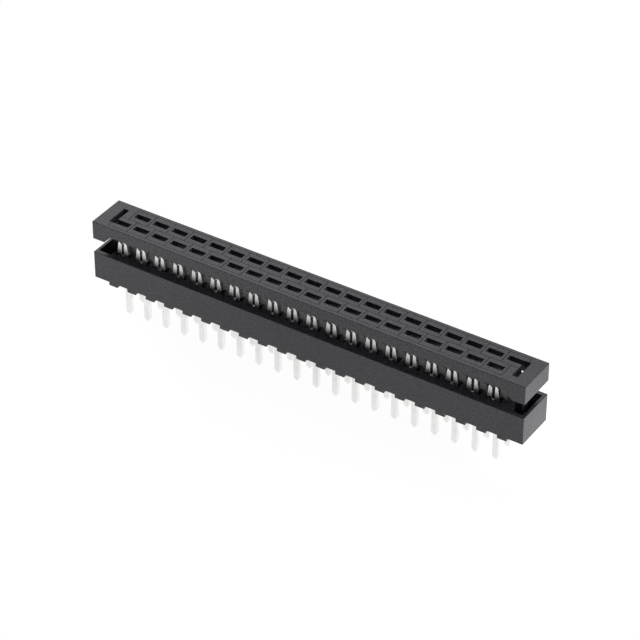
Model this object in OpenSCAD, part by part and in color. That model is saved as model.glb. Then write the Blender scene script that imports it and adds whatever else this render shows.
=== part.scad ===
// Two-row ribbon cable transition connector for a printed board.
// A slotted cover stands raised over a moulded base. Pressing it down pushes a flat cable
// onto forked contacts, whose tails are soldered into the board.
// X runs along the rows, Y across them, and Z = 0 is the board under the stand-off feet.

/* [Rows] */
// Contacts in each of the two rows
ways = 20; // [6:1:28]
// Distance between neighbouring contacts in a row
pitch = 2.54; // [2.4:0.01:3.2]
// Distance between the two rows of tails
tail_rows = 2.54; // [2.3:0.01:2.9]
// Distance between the two rows of forks
fork_rows = 2.06; // [1.9:0.01:2.3]

/* [Base] */
// Width of the base and the cover
body_w = 5.08; // [4.6:0.01:6.5]
// Length of the base and the cover beyond the last tail of a row
end_margin = 3.81; // [3.4:0.01:6]
// Height of the base from its underside to its top
base_h = 3.48; // [3:0.01:5]
// Height of the stand-off feet
foot_h = 0.42; // [0.2:0.01:0.8]
// Width of a stand-off foot along the row
foot_w = 1.14; // [0.6:0.01:1.3]
// Thickness of the floor that a contact seats on
floor_h = 0.95; // [0.7:0.01:1.3]
// Thickness of the wall that closes the recess in an end of the base
end_wall = 0.36; // [0.3:0.01:0.6]
// Thickness of the long walls beside that recess
side_wall = 0.52; // [0.4:0.01:0.8]
// Chamfer on the moulded edges
edge = 0.04; // [0.02:0.01:0.2]

/* [Cover] */
// Height of the cover's end blocks
cover_h = 2.28; // [1.8:0.01:3]
// Thickness of the slotted plate between the end blocks
plate_h = 1.35; // [0.9:0.01:1.6]
// Gap between the base and the end blocks with the cover raised
open_gap = 1.84; // [1.5:0.01:2.2]
// Room at each end of a fork in its slot
slot_end_gap = 0.2; // [0.15:0.01:0.3]
// Room at each face of a fork in the mouth of its slot
slot_side_gap = 0.14; // [0.12:0.01:0.3]
// Depth of that mouth
mouth_depth = 0.85; // [0.4:0.05:0.9]
// Room at each face of a fork in the slot's narrower throat
throat_gap = 0.1; // [0.05:0.01:0.12]
// Room beside the cable at each end of its channel
cable_gap = 0.06; // [0.03:0.01:0.3]
// Run of the channel's sloped ends along the row
ramp_l = 0.9; // [0.3:0.05:1.1]
// Radius of the grooves that guide the cable's cores
groove_r = 0.5; // [0.4:0.05:0.6]
// Depth of those grooves in the plate
groove_depth = 0.2; // [0.1:0.01:0.35]
// Plain land between a groove's end and the cover's long face
groove_land = 0.4; // [0.2:0.05:0.8]
// Width of the fine lines that the mould inserts leave around the slots
line_w = 0.08; // [0.04:0.01:0.15]
// Depth of those lines
line_depth = 0.07; // [0.02:0.01:0.15]

/* [Latch] */
// Overlap of the latch window with the last slot of the row
window_merge = 0.04; // [0.02:0.01:0.1]
// Width of the latch window along the row
window_w = 0.7; // [0.66:0.01:0.9]
// Length of the latch window across the rows
window_l = 2.92; // [2.4:0.01:3.4]
// Depth of the blind middle of the window, over the leg
window_depth = 0.9; // [0.3:0.05:1]
// Step from the window's inner edge out to the leg
leg_inset = 0.25; // [0.15:0.01:0.35]
// Thickness of a latch leg
leg_t = 0.7; // [0.5:0.01:0.8]
// Width of a latch leg across the rows
leg_w = 1.2; // [0.8:0.05:1.25]
// Reach of the hook beyond the leg
hook = 0.14; // [0.08:0.01:0.2]
// Height of the ledge over the hook
ledge_h = 0.45; // [0.3:0.05:0.7]
// Height of the leg's end over the board with the cover pressed down
leg_board_gap = 0.55; // [0.3:0.05:0.8]
// Running clearance of the leg in the base
leg_gap = 0.05; // [0.03:0.01:0.1]

/* [Contacts] */
// Thickness of the contact strip
metal_t = 0.5; // [0.35:0.01:0.55]
// Width of one tine of the fork at its root
tine_w = 0.6; // [0.5:0.01:0.65]
// Width of the wire slot between the tines
wire_slot = 0.32; // [0.2:0.01:0.4]
// Height of the tines over the base
tine_rise = 1.7; // [1.4:0.01:2]
// Depth of the wire slot's root below the base's top
root_drop = 0.3; // [0.05:0.01:0.5]
// Width of the flat left on the point of a tine
tip_w = 0.1; // [0.05:0.01:0.14]
// Thickness left at the point of a tine
tip_t = 0.34; // [0.2:0.01:0.35]
// Width of the wire's lead-in on each tine
lead_w = 0.34; // [0.15:0.01:0.4]
// Height of that lead-in
lead_h = 0.3; // [0.2:0.01:0.6]
// Height of the arm that joins the fork to its tail
arm_h = 0.6; // [0.4:0.05:0.9]
// Width of a solder tail
tail_w = 0.7; // [0.5:0.01:0.8]
// Length of a solder tail below the board's top
tail_l = 4; // [2.5:0.01:5]
// Height of the tapered end of a tail
tail_tip_h = 0.5; // [0.3:0.05:0.8]
// Width left at the end of a tail
tail_tip_w = 0.34; // [0.2:0.01:0.45]
// Thickness left at the end of a tail
tail_tip_t = 0.25; // [0.15:0.01:0.33]
// Clearance of a contact in its pocket
pocket_gap = 0.04; // [0.02:0.01:0.08]
// Size of the lead-in along the mouth of a pocket
pocket_lead = 0.2; // [0.1:0.01:0.3]

/* [Hidden] */
$fn = 32;
// Overshoot of a cut beyond the face it opens
over = 0.5;

// Lengths along the row
stagger = pitch / 4;
row_l = (ways - 1) * pitch;
body_l = row_l + 2 * end_margin;
channel_l = ways * pitch + 2 * cable_gap;
fork_w = 2 * tine_w + wire_slot;
slot_l = fork_w + 2 * slot_end_gap;
slot_w = metal_t + 2 * slot_side_gap;
throat_w = metal_t + 2 * throat_gap;

// Heights over the board
base_top = foot_h + base_h;
seat_z = foot_h + floor_h;
arm_top = seat_z + arm_h;
tine_top = base_top + tine_rise;
root_z = base_top - root_drop;
block_z = base_top + open_gap;
cover_top = block_z + cover_h;
plate_z = cover_top - plate_h;

// Step from the fork's plane out to the tail's plane, made over the height of the floor's upper part
row_step = (tail_rows - fork_rows) / 2;
jog_h = floor_h / 2;

// Latch places, with x running towards the end of the part
window_x = row_l / 2 + stagger + slot_l / 2 - window_merge;
leg_x = window_x + leg_inset;
recess_x = leg_x - leg_gap;
leg_root_z = (block_z + cover_top - window_depth) / 2;
leg_end_z = leg_board_gap + open_gap;
ledge_z = base_top - ledge_h;
hook_z = ledge_z - leg_gap;

BLACK = [0.12, 0.12, 0.13];
TIN = [0.78, 0.78, 0.76];

function two_digits(i) = i < 10 ? str("0", i) : str(i);
function contact_name(row, i) = str("contact_", row, "_", two_digits(i));
function row_names(row) = [for (i = [1:ways]) contact_name(row, i)];

// Rectangle centred on the Y axis, standing on the X axis, with its upper corners chamfered
function topped(width, height, cut) = [
    [-width / 2, 0], [width / 2, 0], [width / 2, height - cut],
    [width / 2 - cut, height], [cut - width / 2, height], [-width / 2, height - cut]
];

// Rectangle centred on the origin with all four corners chamfered
function plan(length, width, cut) = [
    [cut - length / 2, -width / 2], [length / 2 - cut, -width / 2],
    [length / 2, cut - width / 2], [length / 2, width / 2 - cut],
    [length / 2 - cut, width / 2], [cut - length / 2, width / 2],
    [-length / 2, width / 2 - cut], [-length / 2, cut - width / 2]
];

// Extrudes an outline drawn in X and Z along Y, centred on the X axis
module along_y(depth) {
    rotate([90, 0, 0])
        linear_extrude(depth, center = true)
            children();
}

// Extrudes an outline drawn in Y and Z along X, centred on the Y axis
module along_x(depth) {
    rotate([90, 0, 90])
        linear_extrude(depth, center = true)
            children();
}

// Moulded block with chamfered upper and upright edges
module block(height) {
    intersection() {
        linear_extrude(height)
            polygon(plan(body_l, body_w, edge));
        along_y(body_w)
            polygon(topped(body_l, height, edge));
        along_x(body_l)
            polygon(topped(body_w, height, edge));
    }
}

// The same feature at both ends: the connector reads the same when turned half round
module both_ends() {
    for (turn = [0, 180])
        rotate([0, 0, turn])
            children();
}

// Places a feature at the fork of each contact
module at_forks() {
    both_ends()
        for (i = [1:ways])
            at_fork(i)
                children();
}

// Place of the fork of one contact of the front row, counted from the left
module at_fork(i) {
    translate([(i - 1) * pitch - row_l / 2 - stagger, -fork_rows / 2, 0])
        children();
}

// Front view of a contact: tapered fork, offset arm and tail, with the wire slot open to the top
module contact_front() {
    half = fork_w / 2;
    slot = wire_slot / 2;
    tip_inner = slot + lead_w;
    tip_outer = tip_inner + tip_w;
    tail_left = stagger - tail_w / 2;
    tail_right = stagger + tail_w / 2;
    difference() {
        polygon([
            [-half, seat_z], [tail_left, seat_z],
            [tail_left, tail_tip_h - tail_l], [stagger - tail_tip_w / 2, -tail_l],
            [stagger + tail_tip_w / 2, -tail_l], [tail_right, tail_tip_h - tail_l],
            [tail_right, arm_top], [half, arm_top],
            [half, base_top], [tip_outer, tine_top],
            [-tip_outer, tine_top], [-half, base_top]
        ]);
        polygon([
            [-tip_inner, tine_top], [-slot, tine_top - lead_h],
            [-slot, root_z + slot], [slot, root_z + slot],
            [slot, tine_top - lead_h], [tip_inner, tine_top],
            [tip_inner, tine_top + over], [-tip_inner, tine_top + over]
        ]);
        translate([0, root_z + slot])
            circle(slot);
    }
}

// Side view of a contact: a strip that thins towards the points and steps out to the tail's plane
module contact_side() {
    polygon([
        [tip_t / 2, tine_top], [-tip_t / 2, tine_top], [-metal_t / 2, base_top],
        [-metal_t / 2, seat_z], [-metal_t / 2 - row_step, seat_z - jog_h],
        [-metal_t / 2 - row_step, tail_tip_h - tail_l], [-tail_tip_t / 2 - row_step, -tail_l],
        [tail_tip_t / 2 - row_step, -tail_l], [metal_t / 2 - row_step, tail_tip_h - tail_l],
        [metal_t / 2 - row_step, seat_z - jog_h], [metal_t / 2, seat_z],
        [metal_t / 2, base_top]
    ]);
}

// Room for a contact in the base: it drops in past a lead-in at the top and seats on its arm
module pocket() {
    half = fork_w / 2 + pocket_gap;
    tail_half = tail_w / 2 + pocket_gap;
    side = metal_t / 2 + pocket_gap;
    mouth = side + pocket_lead;
    mouth_z = base_top - pocket_lead;
    intersection() {
        along_y(2 * body_w)
            union() {
                translate([stagger - tail_half, -over])
                    square([2 * tail_half, base_top + 2 * over]);
                translate([-half, seat_z])
                    square([stagger + tail_half + half, base_h + over]);
            }
        along_x(2 * pitch)
            polygon([
                [mouth, base_top + over], [-mouth, base_top + over],
                [-mouth, base_top], [-side, mouth_z],
                [-side, seat_z], [-side - row_step, seat_z - jog_h],
                [-side - row_step, -over], [side - row_step, -over],
                [side - row_step, seat_z - jog_h], [side, seat_z],
                [side, mouth_z], [mouth, base_top]
            ]);
    }
}

// Stand-off feet across the underside, one between each two tails and one outside the last ones
module feet() {
    for (i = [0:ways])
        translate([(i - ways / 2) * pitch - foot_w / 2, -body_w / 2, 0])
            cube([foot_w, body_w, foot_h]);
}

// Deep recess in an end of the base, open to the top, with the latch at its inner wall
module end_recess() {
    width = body_w - 2 * side_wall;
    translate([recess_x, -width / 2, seat_z])
        cube([body_l / 2 - end_wall - recess_x, width, base_h + over]);
}

// Opening through the recess's floor, undercut so that a ledge is left for the hook to catch under
module latch_opening() {
    width = leg_w + 2 * leg_gap;
    translate([recess_x - hook, -width / 2, -over])
        cube([leg_t + hook + 2 * leg_gap, width, ledge_z + over]);
}

// Hooked leg that hangs from an end of the cover into the recess
module latch_leg() {
    along_y(leg_w)
        polygon([
            [leg_x, leg_root_z], [leg_x, hook_z],
            [leg_x - hook, hook_z], [leg_x, leg_end_z],
            [leg_x + leg_t, leg_end_z], [leg_x + leg_t, leg_root_z]
        ]);
}

// Latch window in an end of the cover: blind over the leg, open right through at both sides of it
module latch_window() {
    side_l = (window_l - leg_w) / 2;
    translate([window_x, -window_l / 2, cover_top - window_depth])
        cube([window_w, window_l, window_depth + over]);
    for (start = [-window_l / 2, leg_w / 2])
        translate([window_x, start, block_z - over])
            cube([window_w, side_l, cover_h + 2 * over]);
}

// Channel for the cable under the plate, with sloped ends
module cable_channel() {
    half = channel_l / 2;
    slope = ramp_l / (plate_z - block_z);
    low_half = half + slope * (plate_z - block_z + over);
    along_y(2 * body_w)
        polygon([
            [-low_half, block_z - over], [low_half, block_z - over],
            [half, plate_z], [-half, plate_z]
        ]);
}

// Slot for a fork: a wide mouth over a narrower throat
module fork_slot() {
    translate([-slot_l / 2, -slot_w / 2, cover_top - mouth_depth])
        cube([slot_l, slot_w, mouth_depth + over]);
    translate([-slot_l / 2, -throat_w / 2, block_z - over])
        cube([slot_l, throat_w, cover_h + 2 * over]);
}

// Grooves in the underside of the plate, one for each core of the cable
module cable_grooves() {
    length = body_w - 2 * groove_land;
    cores = 2 * ways;
    for (i = [0:cores - 1])
        translate([(i - (cores - 1) / 2) * pitch / 2, length / 2, plate_z + groove_depth - groove_r])
            rotate([90, 0, 0])
                cylinder(r = groove_r, h = length);
}

// Fine lines in the cover's top, around the cell of each slot
module insert_lines() {
    row_start = -row_l / 2 - stagger - pitch / 2;
    line_z = cover_top - line_depth;
    line_h = line_depth + over;
    both_ends() {
        for (i = [0:ways])
            translate([row_start + i * pitch - line_w / 2, -fork_rows, line_z])
                cube([line_w, fork_rows, line_h]);
        translate([row_start, -fork_rows - line_w / 2, line_z])
            cube([ways * pitch, line_w, line_h]);
    }
    translate([row_start, -line_w / 2, line_z])
        cube([-2 * row_start, line_w, line_h]);
}

module base() {
    color(BLACK)
        difference() {
            union() {
                translate([0, 0, foot_h])
                    block(base_h);
                feet();
            }
            at_forks()
                pocket();
            both_ends() {
                end_recess();
                latch_opening();
            }
        }
}

module cover() {
    color(BLACK) {
        difference() {
            translate([0, 0, block_z])
                block(cover_h);
            cable_channel();
            at_forks()
                fork_slot();
            cable_grooves();
            insert_lines();
            both_ends()
                latch_window();
        }
        both_ends()
            latch_leg();
    }
}

module contact(row, i) {
    color(TIN)
        rotate([0, 0, row == "front" ? 0 : 180])
            at_fork(row == "front" ? i : ways + 1 - i)
                intersection() {
                    along_y(2 * body_w)
                        contact_front();
                    along_x(2 * pitch)
                        contact_side();
                }
}

base();
cover();
for (row = ["front", "back"])
    for (i = [1:ways])
        contact(row, i);
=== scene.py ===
"""Looks of the ribbon cable transition connector: finishes, floor, light and the photograph's camera."""

import math

import bpy
from mathutils import Matrix, Vector


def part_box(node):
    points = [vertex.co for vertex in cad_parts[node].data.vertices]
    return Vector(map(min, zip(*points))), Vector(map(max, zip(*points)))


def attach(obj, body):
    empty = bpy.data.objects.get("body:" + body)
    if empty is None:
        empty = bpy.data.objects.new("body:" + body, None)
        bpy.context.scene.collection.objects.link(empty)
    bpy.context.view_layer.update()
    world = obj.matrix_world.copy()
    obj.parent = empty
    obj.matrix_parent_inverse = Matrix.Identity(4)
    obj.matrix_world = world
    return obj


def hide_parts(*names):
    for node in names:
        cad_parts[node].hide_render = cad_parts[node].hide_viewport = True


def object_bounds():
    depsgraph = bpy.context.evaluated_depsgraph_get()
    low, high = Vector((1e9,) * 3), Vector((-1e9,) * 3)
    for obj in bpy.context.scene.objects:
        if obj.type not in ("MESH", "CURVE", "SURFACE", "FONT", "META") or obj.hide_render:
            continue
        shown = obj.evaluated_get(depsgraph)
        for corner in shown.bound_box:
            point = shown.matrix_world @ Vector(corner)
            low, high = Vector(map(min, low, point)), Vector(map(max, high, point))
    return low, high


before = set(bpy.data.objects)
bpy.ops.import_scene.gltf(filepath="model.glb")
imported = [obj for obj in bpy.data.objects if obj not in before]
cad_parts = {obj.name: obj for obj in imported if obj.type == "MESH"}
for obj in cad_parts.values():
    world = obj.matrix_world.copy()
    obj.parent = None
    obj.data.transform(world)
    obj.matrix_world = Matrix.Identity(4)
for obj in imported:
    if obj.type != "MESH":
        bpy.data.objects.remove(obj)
cad_low, cad_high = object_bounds()

MM = 0.001

# Camera of the photograph, aimed at a point beside the centre of the cover's top
VIEW_AZIMUTH = math.radians(33.034)
VIEW_ELEVATION = math.radians(36.444)
VIEW_DISTANCE = 312.5 * MM
VIEW_LENS = 162.1
VIEW_RIGHT = 0.749 * MM
VIEW_UP = -3.288 * MM
VIEW_NEAR = 10 * MM
VIEW_FAR = 10

# Floor, with the share of it that glows by itself and the level of that glow
FLOOR_SIZE = 2.0
FLOOR_CELLS = 2
FLOOR_COLOUR = (0.80, 0.80, 0.80, 1)
FLOOR_GLOW = 0.92
OPEN_LEVEL = 1.05

# Pools of light painted into the floor's glow, to the left of the part and behind its right end: place,
# radius and rise
PAINTED_LIGHT_POOLS = [
    ((-52 * MM, -38 * MM, 0), 54 * MM, 0.95),
    ((28 * MM, 8 * MM, 0), 14 * MM, 0.5),
]

# Dark screens in front of the part and behind it
SCREEN_DISTANCE = 0.30
SCREEN_WIDTH = 1.4
FRONT_SCREEN_HEIGHT = 0.8
BACK_SCREEN_HEIGHT = 0.25
SCREEN_COLOUR = (0.10, 0.10, 0.10, 1)

# Surroundings: their level as light and their level when seen
WHITE = (1, 1, 1, 1)
WORLD_LEVEL = 0.62
SEEN_LEVEL = 1.0

# Square lamps aimed at the middle of the part: name, direction, distance, size and power
LAMPS = [
    ("key", (0.9, 0.25, 0.5), 0.40, 0.24, 0.5),
    ("sky", (-0.52, 0.50, 0.69), 0.40, 0.30, 0.165),
]

# Noise: the range that most of its values lie in, and the detail and roughness of a soft one
NOISE_LOW = 0.3
NOISE_HIGH = 0.7
SOFT_DETAIL = 2
SOFT_ROUGHNESS = 0.5

# Black plastic: its grain, its clouds, its colours and the roughness of its surface
GRAIN_SIZE = 0.2 * MM
GRAIN_DETAIL = 3
GRAIN_ROUGHNESS = 0.6
GRAIN_BUMP = 0.5
GRAIN_HEIGHT = 0.012 * MM
PLASTIC_CLOUD_SIZE = 1.6 * MM
PLASTIC_DARK = (0.012, 0.010, 0.016, 1)
PLASTIC_LIGHT = (0.092, 0.083, 0.106, 1)
PLASTIC_ROUGHNESS = (0.21, 0.25)
PLASTIC_IOR = 1.5

# Tin plate: its drawing lines, its clouds, its colours and the roughness of rolled faces and sheared edges
DRAWN_SIZE = 0.06 * MM
DRAWN_STRETCH = (1, 1, 0.06)
DRAWN_BUMP = 0.3
DRAWN_HEIGHT = 0.004 * MM
TIN_CLOUD_SIZE = 0.7 * MM
TIN_DARK = (0.90, 0.90, 0.885, 1)
TIN_LIGHT = (0.97, 0.97, 0.955, 1)
# Darker tin of the tails: painted shade for the shadowed floor that the tails reflect
SHADED_TAIL_DARK = (0.86, 0.86, 0.844, 1)
SHADED_TAIL_LIGHT = (0.926, 0.926, 0.91, 1)
ROLLED_ROUGHNESS = (0.40, 0.48)
SHEARED_ROUGHNESS = (0.14, 0.20)

# Heights between which the painted shade on the tails fades into the plain tin of the forks
SHADE_FADE_LOW = -0.2 * MM
SHADE_FADE_HIGH = 0.2 * MM

# Squared Y of a contact's normal: up to the first value it is a sheared edge, from the second a rolled face
EDGE_FACING = 0.1
FACE_FACING = 0.4
SQUARE = 2

# Fork of a contact: half its width, half its thickness at the rim, and what that half loses with height
FORK_HALF = 0.76 * MM
STRIP_HALF = 0.25 * MM
THINNING = 0.08 / 1.7

# Each corner of a fork's two points in the CAD, with the place that the photograph gives it, as millimetres
# across from the wire slot and above the rim
POINT_CORNERS = [
    ((-0.60, 1.70), (-0.615, 1.48)),
    ((-0.50, 1.70), (-0.515, 1.535)),
    ((-0.16, 1.40), (-0.20, 1.32)),
    ((0.16, 1.40), (0.165, 1.555)),
    ((0.50, 1.70), (0.32, 1.62)),
    ((0.60, 1.70), (0.53, 1.39)),
]

# The same for the corners of a tail's tip, which keep their thickness
TAIL_CORNERS = [
    ((0.285, -7.40), (0.285, -7.52)),
    ((0.985, -7.40), (0.985, -7.52)),
    ((0.465, -7.90), (0.505, -7.90)),
    ((0.805, -7.90), (0.765, -7.90)),
]

# Long mould lines of the cover: places across it, depth, and half the width in the CAD and in the photograph
LINE_ROWS = (-2.06 * MM, 0, 2.06 * MM)
LINE_DEPTH = 0.07 * MM
LINE_HALF = 0.04 * MM
THIN_LINE_HALF = 0.025 * MM

# Distance within which a vertex counts as lying on a corner or an edge
SAME_PLACE = 0.01 * MM


class Nodes:
    """Adds shader nodes to one tree and links them."""

    def __init__(self, tree):
        self.tree = tree
        tree.nodes.clear()

    def put(self, socket, value):
        """Links an output to a socket, or sets a plain value on it."""
        if isinstance(value, bpy.types.NodeSocket):
            self.tree.links.new(value, socket)
        else:
            socket.default_value = value

    def add(self, kind, **sockets):
        """Adds a node and fills the sockets that are named, with _ for a space."""
        node = self.tree.nodes.new(kind)
        for name, value in sockets.items():
            self.put(node.inputs[name.replace("_", " ")], value)
        return node

    def step(self, kind, values, operation=None):
        """Adds a node that does one operation and fills its sockets in order."""
        node = self.tree.nodes.new(kind)
        if operation:
            node.operation = operation
        for socket, value in zip(node.inputs, values):
            self.put(socket, value)
        return node


def new_material(name):
    material = bpy.data.materials.new(name)
    material.use_nodes = True
    return material, Nodes(material.node_tree)


def noise(nodes, place, size, detail=SOFT_DETAIL, roughness=SOFT_ROUGHNESS):
    """Noise whose features measure about the size."""
    return nodes.add(
        "ShaderNodeTexNoise", Vector=place, Scale=1 / size, Detail=detail, Roughness=roughness
    ).outputs["Fac"]


def ramp(nodes, value, start, end, low, high):
    """Maps start..end to low..high and holds the ends."""
    node = nodes.add(
        "ShaderNodeMapRange", Value=value, From_Min=start, From_Max=end, To_Min=low, To_Max=high
    )
    return node.outputs["Result"]


def spread(nodes, value, low, high):
    """Maps a noise value to a range of numbers."""
    return ramp(nodes, value, NOISE_LOW, NOISE_HIGH, low, high)


def mix(nodes, kind, value, first, second):
    """Mixes two numbers, with FLOAT as the kind, or two colours, with RGBA."""
    node = nodes.tree.nodes.new("ShaderNodeMix")
    node.data_type = kind
    for name, part in (("Factor", value), ("A", first), ("B", second)):
        nodes.put(node.inputs[name], part)
    return node.outputs["Result"]


def mix_shaders(nodes, share, first, second):
    """Mixes two shaders by the share of the second."""
    return nodes.step("ShaderNodeMixShader", (share, first, second)).outputs["Shader"]


def calculate(nodes, operation, first, second):
    """One step of arithmetic in a shader."""
    return nodes.step("ShaderNodeMath", (first, second), operation).outputs["Value"]


def black_plastic():
    """Glass-filled black plastic with a fine moulded grain."""
    material, nodes = new_material("black_plastic")
    place = nodes.add("ShaderNodeTexCoord").outputs["Object"]
    grain = noise(nodes, place, GRAIN_SIZE, GRAIN_DETAIL, GRAIN_ROUGHNESS)
    cloud = noise(nodes, place, PLASTIC_CLOUD_SIZE)
    bump = nodes.add("ShaderNodeBump", Strength=GRAIN_BUMP, Distance=GRAIN_HEIGHT, Height=grain)
    shader = nodes.add(
        "ShaderNodeBsdfPrincipled",
        Base_Color=mix(nodes, "RGBA", spread(nodes, grain, 0, 1), PLASTIC_DARK, PLASTIC_LIGHT),
        Roughness=spread(nodes, cloud, *PLASTIC_ROUGHNESS),
        IOR=PLASTIC_IOR,
        Normal=bump.outputs["Normal"],
    )
    nodes.add("ShaderNodeOutputMaterial", Surface=shader.outputs["BSDF"])
    return material


def tin_plate():
    """Tin plated strip with faint drawing lines along its length, smooth sheared edges and painted shade on
    its tails.
    """
    material, nodes = new_material("tin_plate")
    surface = nodes.add("ShaderNodeTexCoord")
    place = surface.outputs["Object"]
    stretched = nodes.add("ShaderNodeMapping", Vector=place, Scale=DRAWN_STRETCH)
    lines = noise(nodes, stretched.outputs["Vector"], DRAWN_SIZE)
    cloud = noise(nodes, place, TIN_CLOUD_SIZE)
    shade = spread(nodes, cloud, 0, 1)
    height = nodes.add("ShaderNodeSeparateXYZ", Vector=place).outputs["Z"]
    # Painted shade: the tails are darker below the forks, standing for the shadowed floor they reflect
    above_tail_shade = ramp(nodes, height, SHADE_FADE_LOW, SHADE_FADE_HIGH, 0, 1)
    shaded_tail_colour = mix(nodes, "RGBA", shade, SHADED_TAIL_DARK, SHADED_TAIL_LIGHT)
    fork_colour = mix(nodes, "RGBA", shade, TIN_DARK, TIN_LIGHT)
    bump = nodes.add("ShaderNodeBump", Strength=DRAWN_BUMP, Distance=DRAWN_HEIGHT, Height=lines)
    facing = nodes.add("ShaderNodeSeparateXYZ", Vector=surface.outputs["Normal"])
    flat = calculate(nodes, "POWER", facing.outputs["Y"], SQUARE)
    is_face = ramp(nodes, flat, EDGE_FACING, FACE_FACING, 0, 1)
    sheared = spread(nodes, lines, *SHEARED_ROUGHNESS)
    rolled = spread(nodes, lines, *ROLLED_ROUGHNESS)
    shader = nodes.add(
        "ShaderNodeBsdfPrincipled",
        Base_Color=mix(nodes, "RGBA", above_tail_shade, shaded_tail_colour, fork_colour),
        Metallic=1.0,
        Roughness=mix(nodes, "FLOAT", is_face, sheared, rolled),
        Normal=bump.outputs["Normal"],
    )
    nodes.add("ShaderNodeOutputMaterial", Surface=shader.outputs["BSDF"])
    return material


def screen_cloth():
    """Dark cloth of the screens."""
    material, nodes = new_material("screen_cloth")
    cloth = nodes.add("ShaderNodeBsdfDiffuse", Color=SCREEN_COLOUR)
    nodes.add("ShaderNodeOutputMaterial", Surface=cloth.outputs["BSDF"])
    return material


def seen_directly(nodes):
    """1 for camera, mirror and glass rays, 0 for the rays that carry light between surfaces."""
    path = nodes.add("ShaderNodeLightPath")
    total = path.outputs["Is Camera Ray"]
    for name in ("Is Glossy Ray", "Is Transmission Ray"):
        total = calculate(nodes, "MAXIMUM", total, path.outputs[name])
    return total


def floor_level(nodes):
    """Level of the floor's glow, which rises smoothly in the painted pools of light."""
    spot = nodes.add("ShaderNodeTexCoord").outputs["Object"]
    level = OPEN_LEVEL
    for place, radius, rise in PAINTED_LIGHT_POOLS:
        # Painted light: each pool adds glow to the floor around its place
        away = nodes.step("ShaderNodeVectorMath", (spot, place), "DISTANCE")
        near = ramp(nodes, away.outputs["Value"], 0, radius, 1, 0)
        painted_pool = calculate(nodes, "MULTIPLY", calculate(nodes, "POWER", near, SQUARE), rise)
        level = calculate(nodes, "ADD", painted_pool, level)
    return level


def floor_white():
    """White floor that shows a soft shadow and stays white to the camera and in reflections, with painted
    pools of light in its glow.
    """
    material, nodes = new_material("floor_white")
    diffuse = nodes.add("ShaderNodeBsdfDiffuse", Color=FLOOR_COLOUR)
    # The glow's level carries the painted pools of light
    glow = nodes.add("ShaderNodeEmission", Color=WHITE, Strength=floor_level(nodes))
    share = calculate(nodes, "MULTIPLY", seen_directly(nodes), FLOOR_GLOW)
    surface = mix_shaders(nodes, share, diffuse.outputs["BSDF"], glow.outputs["Emission"])
    nodes.add("ShaderNodeOutputMaterial", Surface=surface)
    return material


def studio_world():
    """Plain white surroundings: full white when seen, softer as light."""
    world = bpy.data.worlds.new("studio")
    world.use_nodes = True
    bpy.context.scene.world = world
    nodes = Nodes(world.node_tree)
    soft = nodes.add("ShaderNodeBackground", Color=WHITE, Strength=WORLD_LEVEL)
    bright = nodes.add("ShaderNodeBackground", Color=WHITE, Strength=SEEN_LEVEL)
    surface = mix_shaders(
        nodes, seen_directly(nodes), soft.outputs["Background"], bright.outputs["Background"]
    )
    nodes.add("ShaderNodeOutputWorld", Surface=surface)


def add_object(name, data):
    """Object of the scene that shows the data."""
    item = bpy.data.objects.new(name, data)
    bpy.context.scene.collection.objects.link(item)
    return item


def dress(name, finish):
    """Gives a CAD node its finish."""
    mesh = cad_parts[name].data
    mesh.materials.clear()
    mesh.materials.append(finish)


def stand_for(name, mesh, body):
    """Shows a mesh in the place of a CAD node."""
    piece = add_object(mesh.name, mesh)
    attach(piece, body)
    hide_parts(name)


def add_cover(finish):
    """Cover with the photographed width of the long mould lines, which stands for the CAD one."""
    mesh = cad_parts["cover"].data.copy()
    mesh.name = "cover_lined"
    line_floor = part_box("cover")[1].z - LINE_DEPTH
    for vertex in mesh.vertices:
        for row in LINE_ROWS:
            aside = vertex.co.y - row
            on_edge = abs(abs(aside) - LINE_HALF) < SAME_PLACE
            if on_edge and vertex.co.z > line_floor - SAME_PLACE:
                vertex.co.y = row + math.copysign(THIN_LINE_HALF, aside)
    mesh.materials.clear()
    mesh.materials.append(finish)
    stand_for("cover", mesh, "cover")


def cut_point(point, middle, row, rim, turn):
    """Place of a contact's vertex once its points and its tail's tip are cut as in the photograph."""
    across = (point.x - middle) * turn
    rise = point.z - rim
    for (old_across, old_rise), (new_across, new_rise) in POINT_CORNERS + TAIL_CORNERS:
        if math.hypot(across - old_across * MM, rise - old_rise * MM) < SAME_PLACE:
            y = point.y
            if new_rise > 0:
                y = row + math.copysign(STRIP_HALF - THINNING * new_rise * MM, y - row)
            return (middle + turn * new_across * MM, y, rim + new_rise * MM)
    return point.to_tuple()


def add_contact(name, finish):
    """Contact with the photographed points and tip, which stands for the CAD one."""
    low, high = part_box(name)
    if name.startswith("contact_front"):
        turn = 1
        middle = low.x + FORK_HALF
        row = high.y - STRIP_HALF
    else:
        turn = -1
        middle = high.x - FORK_HALF
        row = low.y + STRIP_HALF
    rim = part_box("base")[1].z
    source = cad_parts[name].data
    points = [cut_point(vertex.co, middle, row, rim, turn) for vertex in source.vertices]
    mesh = bpy.data.meshes.new(name + "_cut")
    mesh.from_pydata(points, [], [tuple(face.vertices) for face in source.polygons])
    mesh.materials.append(finish)
    stand_for(name, mesh, "housing")


def add_floor():
    """Floor under the tails."""
    bpy.ops.mesh.primitive_grid_add(
        x_subdivisions=FLOOR_CELLS, y_subdivisions=FLOOR_CELLS, size=FLOOR_SIZE
    )
    floor = bpy.context.object
    floor.name = "floor"
    floor.location = (0, 0, cad_low.z)
    floor.data.materials.append(floor_white())


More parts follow.
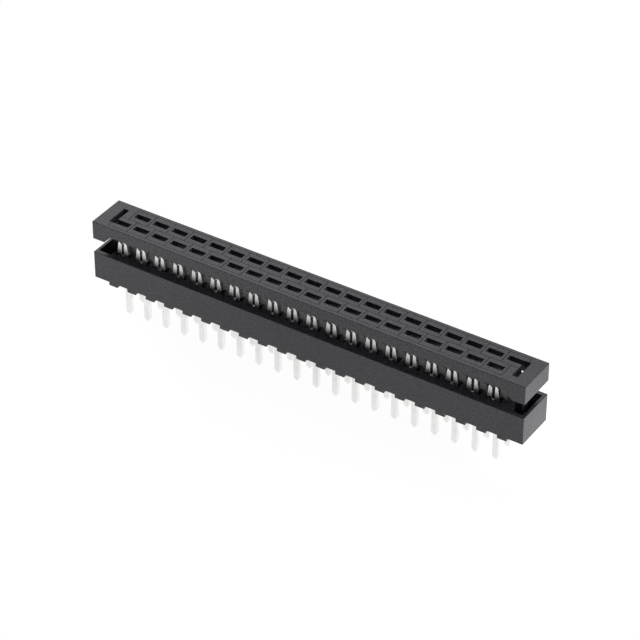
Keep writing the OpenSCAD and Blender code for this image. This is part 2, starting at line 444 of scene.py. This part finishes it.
def add_screen(name, y, height, cloth):
    """Dark upright screen across the studio, which keeps that side dim and isn't seen itself."""
    half = SCREEN_WIDTH / 2
    low = cad_low.z
    high = low + height
    mesh = bpy.data.meshes.new(name)
    corners = [(-half, y, low), (half, y, low), (half, y, high), (-half, y, high)]
    mesh.from_pydata(corners, [], [(0, 1, 2, 3)])
    mesh.materials.append(cloth)
    screen = add_object(name, mesh)
    screen.visible_camera = False


def add_lamp(name, direction, distance, size, power):
    """Square lamp aimed at the middle of the part."""
    data = bpy.data.lights.new(name, "AREA")
    data.shape = "SQUARE"
    data.size = size
    data.energy = power
    lamp = add_object(name, data)
    back = Vector(direction).normalized()
    lamp.location = (cad_low + cad_high) / 2 + back * distance
    lamp.rotation_mode = "QUATERNION"
    lamp.rotation_quaternion = (-back).to_track_quat("-Z", "Y")


def add_camera():
    """Camera with the photograph's place, direction and lens."""
    level = math.cos(VIEW_ELEVATION)
    back = Vector(
        (math.sin(VIEW_AZIMUTH) * level, -math.cos(VIEW_AZIMUTH) * level, math.sin(VIEW_ELEVATION))
    )
    right = Vector((math.cos(VIEW_AZIMUTH), math.sin(VIEW_AZIMUTH), 0))
    up = back.cross(right)
    data = bpy.data.cameras.new("camera")
    data.lens = VIEW_LENS
    data.clip_start = VIEW_NEAR
    data.clip_end = VIEW_FAR
    camera = add_object("camera", data)
    cover_top = Vector((0, 0, cad_high.z))
    turn = Matrix((right, up, back)).transposed().to_4x4()
    eye = cover_top + right * VIEW_RIGHT + up * VIEW_UP + back * VIEW_DISTANCE
    camera.matrix_world = Matrix.Translation(eye) @ turn
    bpy.context.scene.camera = camera


bpy.context.scene.view_settings.view_transform = "Standard"
plastic = black_plastic()
dress("base", plastic)
add_cover(plastic)
tin = tin_plate()
for node_name in sorted(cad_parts):
    if node_name.startswith("contact"):
        add_contact(node_name, tin)
add_floor()
studio_world()
dark_cloth = screen_cloth()
add_screen("front_screen", -SCREEN_DISTANCE, FRONT_SCREEN_HEIGHT, dark_cloth)
add_screen("back_screen", SCREEN_DISTANCE, BACK_SCREEN_HEIGHT, dark_cloth)
for lamp_values in LAMPS:
    add_lamp(*lamp_values)
add_camera()
